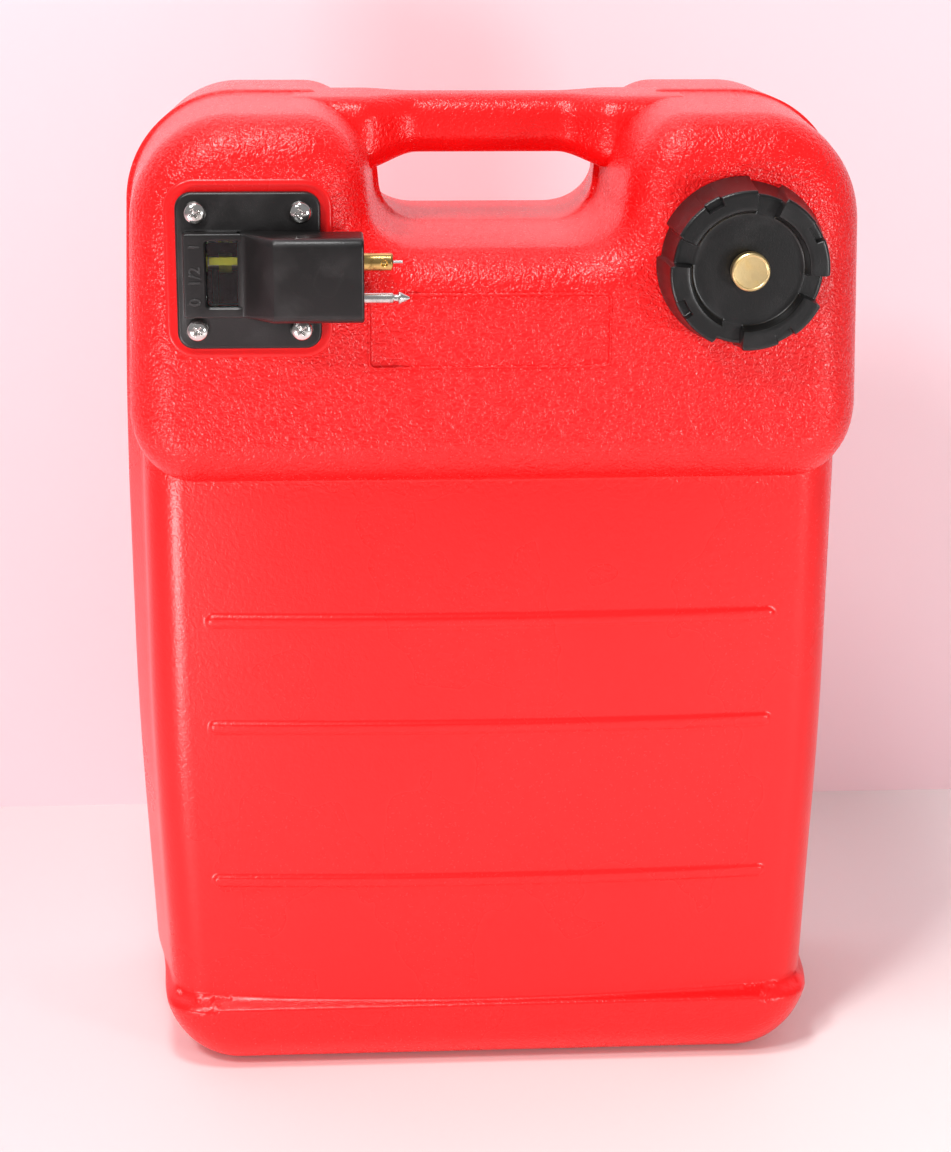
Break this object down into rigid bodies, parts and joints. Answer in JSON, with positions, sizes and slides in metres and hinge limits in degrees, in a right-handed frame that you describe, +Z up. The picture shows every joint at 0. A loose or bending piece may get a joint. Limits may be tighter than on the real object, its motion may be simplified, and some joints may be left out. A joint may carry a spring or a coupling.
{
  "type": "portable outboard fuel tank",
  "caption": "Upright blow-moulded fuel tank with a carry handle, a vented screw cap and a float gauge housing that carries the fuel outlet and a latch pin.",
  "frame": {"origin": "middle of the flat base, on the moulding's parting plane", "axes": "+X right and +Y to the back as seen from the front with the cap and gauge, +Z up"},
  "size_m": [0.3594, 0.2152, 0.488],
  "materials": {
    "red_polyethylene": "blow-moulded polyethylene with a pebbled grain",
    "black_nylon": "semi-matt injection moulding",
    "cap_black": "satin injection moulding",
    "clear_lens": "clear moulded window",
    "seal_rubber": "fuel-proof rubber",
    "plated_screw": "bright plated",
    "latch_steel": "turned stainless steel",
    "steel_pin": "drawn stainless steel",
    "brass": "turned brass",
    "pointer_yellow": "bright yellow-green marker",
    "float_nitrile": "closed-cell float",
    "dip_tube": "natural nylon tube"
  },
  "bodies": {
    "tank": {"tank_shell": "red_polyethylene", "insert_nuts": "brass", "gauge_gasket": "seal_rubber", "gauge_housing": "black_nylon", "gauge_lens": "clear_lens", "flange_screws": "plated_screw", "pivot_pin": "steel_pin", "pickup_tube": "dip_tube", "pickup_filter": "black_nylon", "outlet_tube": "brass", "valve_spring": "steel_pin", "spring_seat": "brass", "latch_pin": "latch_steel"},
    "float_lever": {"float_arm": "steel_pin", "float_body": "float_nitrile", "float_clip": "steel_pin", "gauge_pointer": "pointer_yellow"},
    "valve": {"valve_stem": "steel_pin"},
    "gasket": {"cap_gasket": "seal_rubber"},
    "cap": {"cap_shell": "cap_black", "cap_liner": "black_nylon", "vent_bush": "brass"},
    "vent_seal": {"vent_o_ring": "seal_rubber"},
    "vent": {"vent_screw": "brass", "vent_clip": "steel_pin"}
  },
  "joints": [
    {"name": "float_swing", "type": "hinge", "parent": "tank", "child": "float_lever", "pos_m": [-0.1146, -0.08, 0.418], "axis": [1, 0, 0], "range_deg": [0, 44]},
    {"name": "valve_push", "type": "slide", "parent": "tank", "child": "valve", "axis": [-1, 0, 0], "range_m": [0, 0.003], "stiffness_N_per_m": 300, "springref_m": -0.003, "deforming": ["valve_spring"]},
    {"name": "cap_lift", "type": "slide", "parent": "tank", "child": "gasket", "axis": [0, -1, 0], "range_m": [0, 0.018]},
    {"name": "cap_turn", "type": "hinge", "parent": "gasket", "child": "cap", "pos_m": [0.112, -0.115, 0.4205], "axis": [0, -1, 0], "range_deg": [0, 1080]},
    {"name": "vent_lift", "type": "slide", "parent": "cap", "child": "vent_seal", "axis": [0, -1, 0], "range_m": [0, 0.002]},
    {"name": "vent_turn", "type": "hinge", "parent": "vent_seal", "child": "vent", "pos_m": [0.112, -0.12, 0.4205], "axis": [0, -1, 0], "range_deg": [0, 720]}
  ],
  "couplings": [
    {"joint": "cap_lift", "follows": "cap_turn", "m_per_rad": 0.00095493},
    {"joint": "vent_lift", "follows": "vent_turn", "m_per_rad": 0.00015915}
  ]
}
